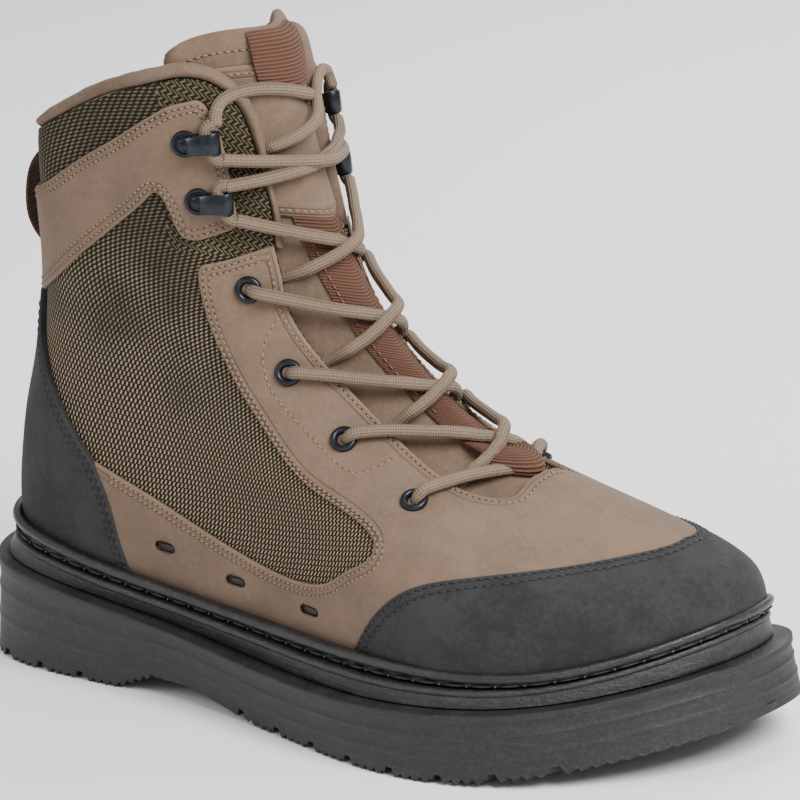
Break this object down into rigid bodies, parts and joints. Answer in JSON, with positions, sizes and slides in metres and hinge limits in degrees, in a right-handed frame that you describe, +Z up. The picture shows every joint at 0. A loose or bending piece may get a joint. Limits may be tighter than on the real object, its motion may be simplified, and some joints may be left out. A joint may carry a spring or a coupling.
{
  "type": "wading boot",
  "caption": "Ankle-high lace-up wading boot, right foot, with a lugged rubber sole, black toe cap and heel counter, brown overlays on mesh, padded collar and tongue.",
  "frame": {"origin": "on the ground under the middle of the sole's length and width", "axes": "+Z up, +X towards the toe, +Y towards the wearer's left, the inner side of this right boot"},
  "size_m": [0.32, 0.1268, 0.2448],
  "materials": {
    "rubber": "black rubber, semi-matt with a soft sheen on the bead",
    "lining": "dark knitted lining",
    "mesh": "coarse woven mesh, tan yarn on dark olive",
    "brown_nubuck": "matt brown synthetic nubuck",
    "black_nubuck": "matt black abrasion-resistant synthetic",
    "webbing": "ribbed reddish-brown webbing",
    "metal": "glossy black coated metal",
    "lace": "round braided lace, tan and grey-brown"
  },
  "bodies": {
    "root": {"outsole": "rubber", "midsole": "rubber", "welt": "rubber", "insole": "lining", "upper": "mesh", "vamp_overlay": "brown_nubuck", "toe_cap": "black_nubuck", "heel_counter": "black_nubuck", "ankle_strap": "brown_nubuck", "tongue": "brown_nubuck", "collar_roll": "brown_nubuck", "tongue_patch": "brown_nubuck", "lace_keeper": "webbing", "tongue_loop": "webbing", "heel_pull_loop": "webbing", "eyelet_lateral_1": "metal", "eyelet_lateral_2": "metal", "eyelet_lateral_3": "metal", "eyelet_lateral_4": "metal", "lace_hook_lateral_1": "metal", "lace_hook_lateral_2": "metal", "eyelet_medial_1": "metal", "eyelet_medial_2": "metal", "eyelet_medial_3": "metal", "eyelet_medial_4": "metal", "lace_hook_medial_1": "metal", "lace_hook_medial_2": "metal", "lace_lowest_bar": "lace", "lace_crossing_1": "lace", "lace_crossing_2": "lace", "lace_crossing_3": "lace", "lace_crossing_4": "lace", "lace_crossing_5": "lace"}
  },
  "joints": []
}
